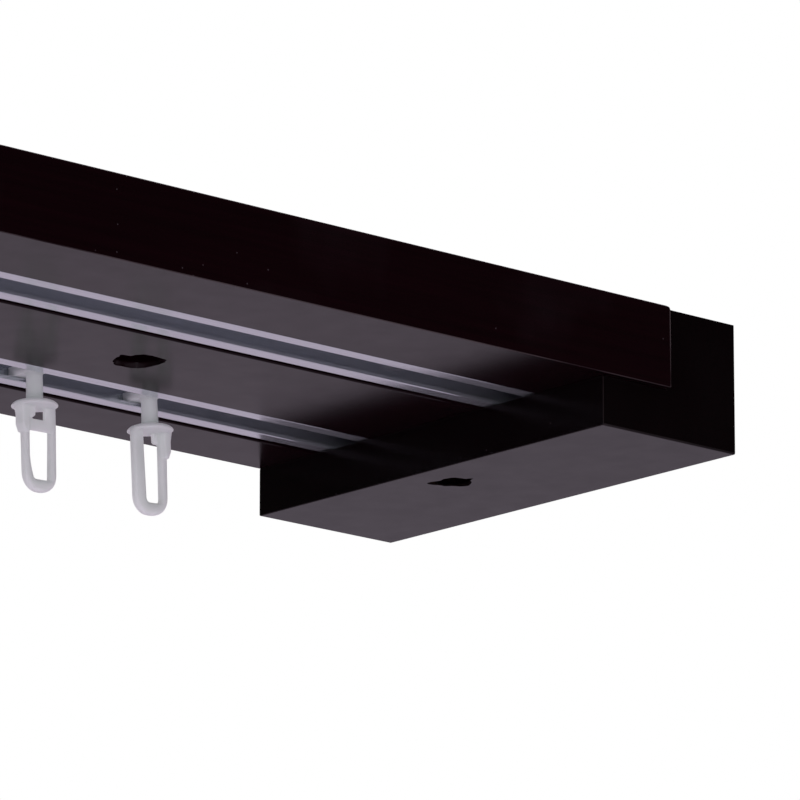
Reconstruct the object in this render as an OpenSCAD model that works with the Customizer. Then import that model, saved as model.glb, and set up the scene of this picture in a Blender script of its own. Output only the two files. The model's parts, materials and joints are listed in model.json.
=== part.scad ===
// Double curtain track: a dark wooden board with two aluminium channels let into its underside,
// a rebated wooden cap screwed under each end, and a row of moulded gliders in each channel.
// X runs along the track, Y points to the wall, Z points up.
// The origin is on the ceiling face, at the middle of the row of ceiling screw holes.

/* [Board] */
// Length of the wooden board
board_len = 1000; // [900:10:2400]
// Width of the board from room side to wall side
board_w = 120; // [116:1:150]
// Thickness of the board
board_t = 19; // [18:0.5:25]
// Distance from the board's wall edge to the row of ceiling screws
row_back = 57.5; // [54:0.5:60]
// Width of the small bevel on the long edges of the board and the caps
edge_ease = 0.6; // [0.2:0.1:1]

/* [Rails] */
// Distance between the middles of the two channels
rail_pitch = 56.6; // [50:0.2:64]
// Width of the groove that holds a channel
groove_w = 19; // [18:0.5:21]
// Outside width of the channel
rail_w = 17; // [16:0.5:17.5]
// Outside height of the channel
rail_h = 10; // [9:0.5:11]
// Thickness of the channel's floor and sides
rail_wall = 1.2; // [1:0.1:1.6]
// Thickness of the two lips that carry the gliders
lip_t = 0.9; // [0.7:0.1:1.2]
// Width of the open slot between the lips
slot_w = 9; // [8:0.5:10]
// How far the lips lie above the underside of the board
rail_recess = 0.4; // [0:0.1:1]

/* [Rail screws] */
// Number of screws that hold each channel
rail_screw_count = 5; // [3:1:9]
// Distance from the board's end to the first rail screw
rail_screw_end = 40; // [30:1:60]
// Diameter of a rail screw's shank
rail_screw_d = 3; // [2.5:0.1:3.5]
// Length of a rail screw under its head
rail_screw_len = 8; // [6:0.5:8]
// Diameter of a rail screw's head
rail_screw_head_d = 5.6; // [5:0.1:6.5]
// Height of a rail screw's head
rail_screw_head_h = 2; // [1.6:0.1:2.6]

/* [Ceiling holes] */
// Number of ceiling screw holes in the board
ceiling_hole_count = 3; // [2:1:5]
// Diameter of a ceiling screw hole
ceiling_hole_d = 5; // [4:0.5:6.5]
// Diameter of the wide bore that takes a ceiling screw's head
ceiling_bore_d = 11.4; // [9:0.2:13]
// Depth of the wide bore from the underside of the board
ceiling_bore_depth = 8; // [5:0.5:11]
// Distance from the board's end to the first ceiling hole
ceiling_end = 105; // [90:5:160]

/* [End caps] */
// Length of an end cap along the track
cap_len = 41.4; // [36:0.2:50]
// Length of board end that lies in the cap's rebate
cap_lap = 19.6; // [17:0.2:25]
// How far the cap hangs below the board
cap_drop = 11.5; // [10:0.5:16]
// How far the cap's front face stands behind the board's front face
cap_set_back = 2.2; // [0:0.1:4]
// Gap between the board's end and the wall of the rebate
cap_fit = 0.1; // [0.05:0.05:0.5]
// Distance from the cap's inner face to its screw hole
cap_hole_in = 12; // [10:0.5:13]
// Distance of the cap's screw behind the row of ceiling screws
cap_hole_back = 3.2; // [0:0.2:6]
// Diameter of the cap's wide screw bore
cap_bore_d = 10; // [9:0.5:12]
// Depth of the cap's wide screw bore
cap_bore_depth = 5.5; // [4:0.5:7]

/* [Cap screws] */
// Diameter of a cap screw's shank
cap_screw_d = 4; // [3.5:0.1:4.5]
// Length of a cap screw under its head
cap_screw_len = 20; // [16:1:22]
// Diameter of a cap screw's head
cap_screw_head_d = 8; // [7:0.1:8.4]
// Height of a cap screw's head
cap_screw_head_h = 2.4; // [1.8:0.1:3]
// Gap between a screw's shank and its hole, all round
screw_fit = 0.05; // [0.02:0.01:0.15]

/* [Gliders] */
// Number of gliders in each channel
gliders_per_rail = 10; // [6:1:12]
// Distance from the right cap to the last rear glider
last_gap = 58; // [40:1:70]
// Distance between the last two rear gliders
pair_gap = 34; // [20:1:50]
// Distance from the right cap to the third rear glider from the end
rear_free = 155; // [140:5:200]
// Distance from the right cap to the last front glider
front_free = 170; // [100:5:250]
// Distance from the left cap to the first glider in each channel
left_gap = 60; // [30:5:100]
// How far the last rear glider leans along the track, in degrees
last_lean = 2; // [0:0.5:3]
// Gap between the glider's head and each side of the channel
head_play = 0.55; // [0.3:0.05:0.8]
// Gap between the glider's head and the lips that carry it
head_lift = 0.2; // [0.1:0.05:0.3]
// Width of the glider's head along the channel
head_w = 4.6; // [4:0.2:6]
// Thickness of the glider's head
head_t = 2.4; // [2:0.1:3]
// Diameter of the glider's neck
neck_d = 3.6; // [3:0.1:4.5]
// Distance from the board down to the top of the glider's collar
collar_drop = 4.6; // [4:0.1:6]
// Diameter of the collar
collar_d = 10.8; // [10:0.2:12]
// Height of the collar's domed top
collar_dome = 2; // [1.6:0.1:2.4]
// Thickness of the collar's rim
collar_rim = 0.5; // [0.3:0.1:0.8]

/* [Glider eyes] */
// Distance from the collar's underside to the bottom of the eye
eye_len = 19; // [17:0.5:22]
// Outside width of the eye along the track
eye_w = 9.2; // [8.8:0.1:9.4]
// How far the eye sits off the neck's axis, away from its catch
eye_offset = 0.7; // [0.4:0.1:0.7]
// Thickness of the eye across the track
eye_t = 1.8; // [1.4:0.1:2]
// Width of each of the eye's arms at the top
arm_w = 1.9; // [1.5:0.1:2.1]
// How much wider each arm is at the bottom of the eye
arm_taper = 0.3; // [0:0.05:0.4]
// Thickness of the eye's bottom bend
bend_t = 2.7; // [2:0.1:3.2]
// Outside radius of the eye's bottom corners
bend_r = 3.8; // [3:0.1:4.2]
// Inside radius of the eye's bottom corners
bend_inner_r = 1.2; // [0.6:0.1:1.6]
// Height of the tongue that shuts the eye
tongue_h = 3; // [2.4:0.1:3.4]
// Gap between the collar and the top of the tongue's bar
tongue_gap = 2.1; // [1.6:0.1:2.6]
// Thickness of the tongue
tongue_t = 1.1; // [0.9:0.1:1.4]
// Width of the broad root that joins the tongue to its arm
tongue_root = 4; // [3:0.1:4.4]
// How far the open tongue is bent out, in degrees
tongue_open = 50; // [40:5:60]
// How far the catch stands out beyond its arm
catch_out = 0.6; // [0.3:0.1:0.9]
// Thickness of the catch across the track
catch_t = 3; // [2.4:0.1:3.4]
// Height of the catch's straight side below the collar
catch_h = 3.7; // [3:0.1:4.5]
// Height of the sloping foot of the catch
catch_foot = 1.5; // [1:0.1:2]
// Width of the nib that locks the tongue
nib_w = 1.7; // [1.3:0.1:1.9]
// Height of the nib below the collar
nib_h = 1.9; // [1.4:0.1:2]

/* [Hidden] */
$fn = 48;
// Overlap between the pieces of one solid, and overshoot of a cut
bite = 0.2;
// Number of straight steps in a domed outline
dome_steps = 8;
// Width and depth of the cross recess in a screw's head
recess_w = 0.9;
recess_depth = 1.2;
// Length of a screw's point as a share of its shank's diameter
point_share = 1.2;

board_front = -(board_w - row_back);
under = -board_t;
inner_half = board_len / 2 - cap_lap;
rail_end = board_len / 2;
rail_bottom = under + rail_recess;
rail_floor = rail_bottom + rail_h - rail_wall;
lip_top = rail_bottom + lip_t;
head_len = rail_w - 2 * rail_wall - 2 * head_play;
head_bottom = lip_top + head_lift;
collar_top = under - collar_drop;
collar_under = collar_top - collar_dome - collar_rim;
eye_bottom = collar_under - eye_len;
eye_low = eye_offset - eye_w / 2;
eye_high = eye_offset + eye_w / 2;
rail_screw_step = (board_len - 2 * rail_screw_end) / (rail_screw_count - 1);
ceiling_step = (board_len - 2 * ceiling_end) / (ceiling_hole_count - 1);
cap_floor = under - cap_drop;
cap_screw_seat = cap_floor + cap_bore_depth;

function two_digits(n) = n < 10 ? str("0", n) : str(n);
function glider_name(rail, i) = str(rail, "_glider_", two_digits(i + 1));
function spread(i, count, first, last) = first + i * (last - first) / (count - 1);
function front_x(i) = spread(i, gliders_per_rail, left_gap - inner_half, inner_half - front_free);
function rear_x(i) =
    i == gliders_per_rail - 1 ? inner_half - last_gap
    : i == gliders_per_rail - 2 ? inner_half - last_gap - pair_gap
    : spread(i, gliders_per_rail - 2, left_gap - inner_half, inner_half - rear_free);

// A bar along X whose four long edges are bevelled, from its lowest corner
module eased_bar(length, width, height) {
    e = edge_ease;
    rotate([90, 0, 90])
        linear_extrude(length)
            polygon([
                [e, 0], [width - e, 0], [width, e], [width, height - e],
                [width - e, height], [e, height], [0, height - e], [0, e]
            ]);
}

// A screw that points up, with the underside of its head at the origin
module screw(shank_d, length, head_d, head_h) {
    point = shank_d * point_share;
    difference() {
        union() {
            translate([0, 0, -head_h])
                rotate_extrude()
                    polygon([
                        [0, 0], [head_d / 2 - head_h / 4, 0], [head_d / 2, head_h / 2],
                        [head_d / 2, head_h], [0, head_h]
                    ]);
            rotate_extrude()
                polygon([
                    [0, -bite], [shank_d / 2, -bite], [shank_d / 2, length - point], [0, length]
                ]);
        }
        for (turn = [0, 90])
            rotate([0, 0, turn])
                translate([-head_d / 4, -recess_w / 2, -head_h - bite])
                    cube([head_d / 2, recess_w, recess_depth + bite]);
    }
}

// The hole that a screw's shank turns into, with its mouth at the origin
module shank_hole(shank_d, length) {
    translate([0, 0, -bite])
        cylinder(d = shank_d + 2 * screw_fit, h = length + screw_fit + bite);
}

module at_rail_screws() {
    for (i = [0 : rail_screw_count - 1])
        translate([rail_screw_end - board_len / 2 + i * rail_screw_step, 0, rail_floor])
            children();
}

module at_ceiling_holes() {
    for (i = [0 : ceiling_hole_count - 1])
        translate([ceiling_end - board_len / 2 + i * ceiling_step, 0, 0])
            children();
}

module at_cap_screws() {
    for (side = [-1, 1])
        translate([side * (inner_half + cap_hole_in), cap_hole_back, cap_screw_seat])
            children();
}

module ceiling_hole() {
    translate([0, 0, under - bite])
        cylinder(d = ceiling_hole_d, h = board_t + 2 * bite);
    translate([0, 0, under - bite])
        cylinder(d = ceiling_bore_d, h = ceiling_bore_depth + bite);
}

module track_board() {
    color([0.055, 0.02, 0.024])
        difference() {
            translate([-board_len / 2, board_front, under])
                eased_bar(board_len, board_w, board_t);
            for (side = [-1, 1])
                translate([0, side * rail_pitch / 2, 0]) {
                    translate([-rail_end - bite, -groove_w / 2, under - bite])
                        cube([board_len + 2 * bite, groove_w, rail_recess + rail_h + bite]);
                    at_rail_screws()
                        shank_hole(rail_screw_d, rail_screw_len);
                }
            at_ceiling_holes()
                ceiling_hole();
            at_cap_screws()
                shank_hole(cap_screw_d, cap_screw_len);
        }
}

// A channel that opens downwards, with its lips at the bottom
module rail() {
    half = rail_w / 2;
    inner = half - rail_wall;
    slot = slot_w / 2;
    top = rail_h;
    floor_z = rail_h - rail_wall;
    color([0.72, 0.71, 0.74])
        difference() {
            translate([-rail_end, 0, rail_bottom])
                rotate([90, 0, 90])
                    linear_extrude(board_len)
                        polygon([
                            [-slot, 0], [-half, 0], [-half, top], [half, top], [half, 0], [slot, 0],
                            [slot, lip_t], [inner, lip_t], [inner, floor_z], [-inner, floor_z],
                            [-inner, lip_t], [-slot, lip_t]
                        ]);
            at_rail_screws()
                shank_hole(rail_screw_d, rail_screw_len);
        }
}

module front_rail() {
    translate([0, -rail_pitch / 2, 0])
        rail();
}

module rear_rail() {
    translate([0, rail_pitch / 2, 0])
        rail();
}

module rail_screws() {
    color([0.78, 0.78, 0.76])
        at_rail_screws()
            screw(rail_screw_d, rail_screw_len, rail_screw_head_d, rail_screw_head_h);
}

module front_rail_screws() {
    translate([0, -rail_pitch / 2, 0])
        rail_screws();
}

module rear_rail_screws() {
    translate([0, rail_pitch / 2, 0])
        rail_screws();
}

// The cap of the right end; its shelf carries the board's end
module end_cap() {
    e = edge_ease;
    wall = cap_lap + cap_fit;
    depth = board_w - cap_set_back;
    color([0.06, 0.022, 0.026])
        difference() {
            translate([inner_half, board_front + cap_set_back + depth, 0])
                rotate([90, 0, 0])
                    linear_extrude(depth)
                        polygon([
                            [e, cap_floor], [cap_len - e, cap_floor], [cap_len, cap_floor + e],
                            [cap_len, -e], [cap_len - e, 0], [wall, 0], [wall, under],
                            [0, under], [0, cap_floor + e]
                        ]);
            translate([inner_half + cap_hole_in, cap_hole_back, 0]) {
                translate([0, 0, cap_floor - bite])
                    cylinder(d = cap_bore_d, h = cap_bore_depth + bite);
                translate([0, 0, cap_screw_seat])
                    shank_hole(cap_screw_d, cap_screw_len);
            }
        }
}

module right_end_cap() {
    end_cap();
}

module left_end_cap() {
    mirror([1, 0, 0])
        end_cap();
}

module cap_screw(side) {
    color([0.8, 0.68, 0.36])
        translate([side * (inner_half + cap_hole_in), cap_hole_back, cap_screw_seat])
            screw(cap_screw_d, cap_screw_len, cap_screw_head_d, cap_screw_head_h);
}

// The bar across the channel that hangs on both lips; two corners are rounded so that it can turn in
module glider_head() {
    r = head_w / 2;
    translate([0, 0, head_bottom])
        linear_extrude(head_t)
            difference() {
                square([head_w, head_len], center = true);
                for (half_turn = [0, 180])
                    rotate([0, 0, half_turn])
                        translate([0, head_len / 2 - r])
                            difference() {
                                square(r + bite);
                                circle(r);
                            }
            }
}

module glider_collar() {
    r = collar_d / 2;
    neck = neck_d / 2;
    low = -collar_dome;
    translate([0, 0, collar_top])
        rotate_extrude()
            polygon(concat(
                [[0, 0]],
                [for (i = [dome_steps - 1 : -1 : 0])
                    let (a = 90 * i / dome_steps)
                    [max(neck, r * cos(a)), low + collar_dome * sin(a)]],
                [[r - collar_rim / 2, low - collar_rim], [0, low - collar_rim]]
            ));
}

// Outline of a U that stands on its bend, from its lowest point up
module round_bottom(low_w, top_w, height, r) {
    for (side = [-1, 1])
        translate([side * (low_w / 2 - r), r])
            circle(r);
    translate([r - low_w / 2, 0])
        square([low_w - 2 * r, r + bite]);
    polygon([
        [-low_w / 2, r], [low_w / 2, r], [top_w / 2, height], [-top_w / 2, height]
    ]);
}

// Stands a drawing of width and height up in the plane of the eye
module stand_up(thickness) {
    translate([0, thickness / 2, 0])
        rotate([90, 0, 0])
            linear_extrude(thickness)
                children();
}

module glider_eye() {
    window_top = eye_w - 2 * arm_w;
    window_low = window_top - 2 * arm_taper;
    translate([eye_offset, 0, eye_bottom])
        stand_up(eye_t)
            difference() {
                round_bottom(eye_w, eye_w, eye_len + bite, bend_r);
                translate([0, bend_t])
                    round_bottom(window_low, window_top, eye_len - bend_t, bend_inner_r);
            }
}

// The catch at the top of one arm, and the nib under the collar beside it
module glider_catch() {
    outer = eye_low - catch_out;
    inner = eye_low + arm_w;
    nib_r = nib_w / 2;
    translate([0, 0, collar_under])
        stand_up(catch_t)
            polygon([
                [inner, bite], [outer, bite], [outer, -catch_h],
                [eye_low, -catch_h - catch_foot], [inner, -catch_h - catch_foot]
            ]);
    translate([inner + nib_r - bite, -catch_t / 4 - eye_t / 4, collar_under])
        stand_up(catch_t / 2 - eye_t / 4) {
            translate([-nib_r, nib_r - nib_h])
                square([nib_w, nib_h - nib_r + bite]);
            translate([0, nib_r - nib_h])
                circle(nib_r);
        }
}

// The springy tongue that shuts the eye; it is moulded on one arm and its tip clips under the nib
module glider_tongue(open) {
    hinge = eye_high - arm_w;
    tip = eye_low + arm_w - bite;
    root = eye_high - tongue_root;
    face = (eye_t - tongue_t) / 2;
    translate([hinge, -face, collar_under])
        rotate([0, 0, open ? tongue_open : 0])
            stand_up(tongue_t)
                polygon([
                    [0, open ? -bite : bite], [root - hinge, open ? -bite : bite],
                    [root - hinge, -tongue_gap], [tip - hinge, -tongue_gap],
                    [tip - hinge, -tongue_gap - tongue_h], [0, -tongue_gap - tongue_h]
                ]);
    translate([hinge, -face, collar_under])
        stand_up(tongue_t)
            translate([-bite, -tongue_gap - tongue_h])
                square([arm_w, tongue_gap + tongue_h - bite]);
}

// One glider; its head hangs on the lips and its eye takes the curtain tape
module glider(turn, lean, open) {
    color([0.86, 0.86, 0.88])
        translate([0, 0, head_bottom])
            rotate([0, -lean, 0])
                rotate([0, 0, turn])
                    translate([0, 0, -head_bottom]) {
                        glider_head();
                        translate([0, 0, collar_top - bite])
                            cylinder(d = neck_d, h = head_bottom - collar_top + 2 * bite);
                        glider_collar();
                        glider_eye();
                        glider_catch();
                        glider_tongue(open);
                    }
}

// Neighbours in a row face opposite ways, as they were dropped in
module front_glider(i) {
    translate([front_x(i), -rail_pitch / 2, 0])
        glider(i % 2 == 0 ? 0 : 180, 0, false);
}

module rear_glider(i) {
    last = i == gliders_per_rail - 1;
    translate([rear_x(i), rail_pitch / 2, 0])
        glider(i % 2 == 0 ? 0 : 180, last ? last_lean : 0, last);
}

track_board();
front_rail();
rear_rail();
front_rail_screws();
rear_rail_screws();
left_end_cap();
right_end_cap();
cap_screw(-1);  // left_cap_screw
cap_screw(1);  // right_cap_screw
for (i = [0 : gliders_per_rail - 1]) {
    front_glider(i);
    rear_glider(i);
}
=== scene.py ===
import json
import math
import random

import bmesh
import bpy
from mathutils import Matrix, Vector, noise


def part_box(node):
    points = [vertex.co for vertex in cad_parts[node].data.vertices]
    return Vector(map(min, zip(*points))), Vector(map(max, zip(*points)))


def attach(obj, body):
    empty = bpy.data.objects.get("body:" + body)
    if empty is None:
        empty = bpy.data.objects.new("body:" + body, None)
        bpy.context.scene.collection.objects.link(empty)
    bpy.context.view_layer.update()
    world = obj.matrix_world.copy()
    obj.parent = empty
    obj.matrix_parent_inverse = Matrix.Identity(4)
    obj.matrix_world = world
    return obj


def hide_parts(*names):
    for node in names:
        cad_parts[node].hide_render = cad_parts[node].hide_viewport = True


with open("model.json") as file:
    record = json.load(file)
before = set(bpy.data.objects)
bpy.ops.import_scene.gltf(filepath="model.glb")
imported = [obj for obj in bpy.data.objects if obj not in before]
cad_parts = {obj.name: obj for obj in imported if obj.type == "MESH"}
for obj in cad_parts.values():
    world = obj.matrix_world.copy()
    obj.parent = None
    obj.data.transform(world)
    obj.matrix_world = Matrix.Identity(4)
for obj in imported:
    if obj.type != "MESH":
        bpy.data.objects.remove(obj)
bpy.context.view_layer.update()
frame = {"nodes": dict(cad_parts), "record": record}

bl_info = {
    "name": "Double Curtain Track",
    "version": (1, 0, 0),
    "blender": (4, 5, 0),
    "location": "View3D > Sidebar > Curtain Track",
    "description": "A wooden double curtain track with aluminium channels, end caps and moulded gliders",
    "category": "Object",
}

MM = 0.001
# Distance under which two points count as one, and under which a turned shape's points are merged
TOUCH = 0.02 * MM
MERGE = TOUCH / 10
# Angle over which two faces meet in a sharp edge
SHARP = math.radians(34)
# An edge runs along an axis when more than this share of its length does
STRAIGHT = 0.99
X_AXIS, Y_AXIS = 0, 1
# Steps of a rounding: in an outline's corner, in the wood, in a channel and in a glider's small edges
CORNER_STEPS, WOOD_STEPS, METAL_STEPS, SMALL_STEPS = 8, 4, 3, 2
# Material slots that tell flat faces from rounded ones until the piece is finished
PLAIN, ROUNDED = 0, 1

RAILS = ("front_rail", "rear_rail")
RAIL_SCREWS = ("front_rail_screws", "rear_rail_screws")
CAP_SCREWS = ("left_cap_screw", "right_cap_screw")
GLIDERS = sorted(name for name in frame["nodes"] if "_glider_" in name)
# The glider whose tongue stands open and which leans along the track
OPEN_GLIDER = "rear_glider_10"


# Properties

def size(name, description, millimetres):
    """A length that is typed in millimetres and kept in metres."""
    return bpy.props.FloatProperty(
        name=name, description=description, default=millimetres * MM, unit="LENGTH", precision=5
    )


def angle(name, description, degrees):
    return bpy.props.FloatProperty(
        name=name, description=description, default=math.radians(degrees), unit="ROTATION"
    )


def share(name, description, value):
    return bpy.props.FloatProperty(name=name, description=description, default=value, subtype="FACTOR")


def colour(name, description, value):
    return bpy.props.FloatVectorProperty(
        name=name, description=description, default=value, subtype="COLOR", size=3, min=0.0, max=1.0
    )


class WoodSizes(bpy.types.PropertyGroup):
    """Sizes of the wooden board and caps that the frame's boxes don't give."""
    low_edge: size("Lower edges", "Rounding of the board's long lower edges", 0.2)
    top_edge: size("Top edges", "Rounding of the board's long top edges", 0.3)
    groove_mouth: size("Groove mouths", "Rounding of the edges of the grooves", 0.45)
    sawn_edge: size("Sawn edges", "Rounding of the edges of the board's sawn ends", 0.8)
    top_corner: size("Top corners", "Rounding of the top edge of each sawn end", 2.2)
    groove_gap: size("Groove gap", "Gap between a channel's side and the side of its groove", 1.0)
    ceiling_bore: size("Ceiling bore", "Diameter of the wide bore at each ceiling hole", 11.4)
    ceiling_bore_depth: size("Ceiling bore depth", "Depth of the wide bore from the underside", 8.0)
    cap_foot: size("Cap foot", "Rounding of the cap's lower front and back edges", 0.45)
    cap_edge: size("Cap edges", "Rounding of the cap's other open edges", 0.2)
    cap_seam: size("Cap seams", "Rounding of the cap's edges that lie against the board", 0.25)
    cap_gap: size("Cap gap", "Gap between the board's end and the cap's rebate", 0.1)
    cap_bore: size("Cap bore", "Diameter of the wide bore in each cap", 10.0)
    cap_bore_depth: size("Cap bore depth", "Depth of the wide bore in each cap", 5.5)
    torn_depth: size("Torn depth", "How deep the torn rim of a drilled bore reaches", 1.4)
    screw_fit: size("Screw fit", "Gap between a screw's shank and its hole, all round", 0.05)
    # The next four values set how strong the painted highlight is on the rounded wooden edges: a light colour
    # mixed into the varnish where the edges catch light, strongest at the board's sawn ends.
    highlight_reach: size("Rubbed reach", "How far the wear runs along the long edges from the board's ends", 25)
    end_highlight: bpy.props.FloatProperty(
        name="End wear", default=3.0,
        description="How many times more the edges of the board's sawn ends are worn"
    )
    edge_highlight: share("Edge wear", "How worn the board's long edges are away from its ends", 0.15)
    cap_highlight: share("Cap wear", "How worn the caps' edges are beside the ends of the board", 0.2)


class RailSizes(bpy.types.PropertyGroup):
    """Sizes of the aluminium channels and of their screws' holes."""
    wall: size("Wall", "Thickness of the channel's floor and sides", 1.2)
    lip: size("Lip", "Thickness of the two lips", 0.9)
    slot: size("Slot", "Width of the open slot between the lips", 9.4)
    lip_edge: size("Lip edges", "Rounding of the lower edges of the lips", 0.25)
    outer_edge: size("Outer edges", "Rounding of the channel's outer corners", 0.12)
    screw_count: bpy.props.IntProperty(
        name="Screws", description="Number of screws that hold each channel", default=5, min=2
    )
    screw_shank: size("Shank", "Diameter of a channel screw's shank", 3.0)
    cap_screw_shank: size("Cap screw's shank", "Diameter of a cap screw's shank", 4.0)


class GliderSizes(bpy.types.PropertyGroup):
    """Sizes of one moulded glider."""
    head_width: size("Head width", "Width of the head along the channel", 4.6)
    head_thickness: size("Head thickness", "Thickness of the head", 2.4)
    neck: size("Neck", "Diameter of the neck under the head", 3.75)
    neck_foot: size("Neck foot", "Diameter of the neck where it meets the collar", 3.9)
    collar_height: size("Collar height", "Height of the thin domed collar", 1.55)
    eye_length: size("Eye length", "Distance from the collar's underside to its node's lowest point", 19.8)
    eye_rise: size("Eye rise", "How far the eye ends above the lowest point of its node", 0.3)
    eye_width: size("Eye width", "Outside width of the eye at its top", 9.5)
    eye_taper: size("Eye taper", "How much narrower the eye is at its foot, on the side of its catch", 0.5)
    eye_offset: size("Eye offset", "How far the eye sits off the neck's axis, away from its catch", 0.85)
    eye_thickness: size("Eye thickness", "Thickness of the eye across the track", 2.0)
    catch_arm: size("Catch arm", "Width of the arm with the catch, at its top", 1.9)
    tongue_arm: size("Tongue arm", "Width of the arm with the tongue, at its top", 1.45)
    open_arm: size("Open arm", "Width of that arm on the glider whose tongue stands open", 2.9)
    open_spread: size("Open spread", "How much further out that glider's other arm stands", 0.4)
    arm_taper: size("Arm taper", "How much wider each arm is at its foot", 0.35)
    bend: size("Bend", "Thickness of the eye's bottom bend", 2.9)
    outer_bend: size("Outer corners", "Outside radius of the eye's bottom corners", 4.1)
    inner_bend: size("Inner corners", "Inside radius of the eye's bottom corners", 0.5)
    open_bend: size("Open inner corners", "Inside radius of those corners on the open glider", 1.0)
    catch_sweep: size("Inner sweep", "Height of the long curve inside the foot of the catch's arm", 6.5)
    catch_in: size("Inner reach", "How far that curve reaches into the window at its foot", 1.2)
    roundness: size("Roundness", "Rounding along the eye's arms", 0.6)
    tongue_height: size("Tongue height", "Height of the tongue that shuts the eye", 2.6)
    tongue_gap: size("Tongue gap", "Gap between the collar and the tongue's bar", 2.9)
    tongue_thickness: size("Tongue thickness", "Thickness of the tongue", 1.1)
    tongue_root: size("Tongue root", "Width of the broad root that joins the tongue to its arm", 3.3)
    tongue_open: angle("Tongue open", "How far the open tongue is bent out", 50)
    catch_out: size("Catch", "How far the catch stands out beyond its arm", 0.6)
    catch_flare: size("Catch flare", "How much further the catch stands out where it meets the collar", 0.5)
    catch_thickness: size("Catch thickness", "Thickness of the catch across the track", 3.0)
    catch_inset: size("Catch inset", "How far the thick catch stays back from the window's side", 0.45)
    catch_height: size("Catch height", "Height of the catch down to its sloping foot", 4.4)
    catch_foot: size("Catch foot", "Height of the catch's sloping foot", 1.7)
    nib_width: size("Nib width", "Width of the nib that locks the tongue", 1.4)
    nib_height: size("Nib height", "Height of the nib below the collar", 2.6)
    grid: size("Grid", "Spacing of the grid that fuses the moulding into one skin", 0.2)


class TrackFinishes(bpy.types.PropertyGroup):
    """Colours of the finishes."""
    varnish: colour("Varnish", "Dark stained varnish of the board", (0.0042, 0.0003, 0.0012))
    cap_varnish: colour("Cap varnish", "Darker varnish of the caps", (0.0016, 0.0003, 0.0006))
    gloss: share("Gloss", "Strength of the board's clear coat", 0.79)
    cap_gloss: share("Cap gloss", "Strength of the caps' clear coat", 0.745)
    haze: share("Haze", "How dusty the board's varnish gets in patches", 0.03)
    cap_haze: share("Cap haze", "How dusty the caps' varnish gets in patches", 0.006)
    # A light reddish colour painted on the rounded wooden edges as a highlight.
    highlighted: colour("Worn edge", "Bare reddish wood where the varnish is rubbed off", (0.06, 0.046, 0.048))
    dust: colour("Dust", "Fine dust on the varnish", (0.10, 0.085, 0.095))
    aluminium: colour("Aluminium", "Satin aluminium of the channels", (0.565, 0.60, 0.635))
    plastic: colour("Plastic", "Milky plastic of the gliders", (0.705, 0.765, 0.725))
    zinc: colour("Zinc", "Bright zinc of the channel screws", (0.55, 0.55, 0.53))
    yellow_zinc: colour("Yellow zinc", "Yellow zinc of the cap screws", (0.56, 0.41, 0.17))
    floor: colour("Floor", "Pale floor far below the track", (0.87, 0.74, 0.90))


class StudioSettings(bpy.types.PropertyGroup):
    """Camera and lights."""
    lens: bpy.props.FloatProperty(
        name="Lens", description="Focal length in millimetres on a 36 mm sensor", default=333.7
    )
    offset: bpy.props.FloatVectorProperty(
        name="Camera", description="Camera's place from the lowest corner of the right cap",
        default=(-1.10946, -1.16746, -0.40792), subtype="TRANSLATION", unit="LENGTH"
    )
    azimuth: angle("Azimuth", "How far the view turns from +Y towards +X", 41.92)
    elevation: angle("Elevation", "How far the view looks up", 14.41)
    floor_drop: size("Floor drop", "Distance from the ceiling face down to the floor", 1300)
    floor_width: size("Floor width", "Width of the floor", 80000)
    fill: share("Fill", "Brightness of the room's light on the object", 0.66)
    ceiling_gloss: share("Ceiling in gloss", "Brightness of the upper room in polished faces", 0.02)
    lamp_power: bpy.props.FloatProperty(
        name="Lamp", description="Power of the soft lamp", default=34.0, subtype="POWER", unit="POWER"
    )
    lamp_colour: colour("Lamp colour", "Colour of the soft lamp", (0.97, 0.98, 1.0))
    lamp_distance: size("Lamp distance", "Distance from the middle of the track to the lamp", 4000)
    lamp_width: size("Lamp width", "Width of the lamp's square face", 1500)
    lamp_side: angle("Lamp side", "Direction the lamp stands in, turned from +X", 238)
    lamp_height: angle("Lamp height", "Height of the lamp over the track; below 0 it stands lower", -3)


# Meshes

def add_object(name, data):
    """Adds a mesh, a lamp or a camera to the scene."""
    item = bpy.data.objects.new(name, data)
    bpy.context.scene.collection.objects.link(item)
    return item


def show(name, bm):
    """Turns a bmesh into an object of the scene."""
    mesh = bpy.data.meshes.new(name)
    bm.to_mesh(mesh)
    bm.free()
    return add_object(name, mesh)


def settle(piece):
    """Makes the result of a piece's modifiers its mesh."""
    bpy.context.view_layer.update()
    evaluated = piece.evaluated_get(bpy.context.evaluated_depsgraph_get())
    mesh = bpy.data.meshes.new_from_object(evaluated)
    piece.modifiers.clear()
    drawn, piece.data = piece.data, mesh
    bpy.data.meshes.remove(drawn)


def smooth(piece):
    """Shades a piece smooth with crisp corners, and keeps its flat faces flat."""
    piece.data.shade_smooth()
    piece.data.set_sharp_from_angle(angle=SHARP)
    normals = piece.modifiers.new("normals", "WEIGHTED_NORMAL")
    normals.keep_sharp = True
    settle(piece)


def cut(piece, cutter):
    """Takes the cutter's shape out of a piece and removes the cutter."""
    add_blanks(cutter)
    boolean = piece.modifiers.new("cut", "BOOLEAN")
    boolean.operation = "DIFFERENCE"
    boolean.solver = "EXACT"
    boolean.object = cutter
    settle(piece)
    mesh = cutter.data
    bpy.data.objects.remove(cutter)
    bpy.data.meshes.remove(mesh)


def add_blanks(piece):
    """Gives a piece empty material slots for its plain faces and its rounded ones."""
    for _ in (PLAIN, ROUNDED):
        piece.data.materials.append(None)


def opened(piece):
    """A bmesh with a piece's shape."""
    bm = bmesh.new()
    bm.from_mesh(piece.data)
    return bm


def put_back(bm, piece):
    bm.to_mesh(piece.data)
    bm.free()


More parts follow.
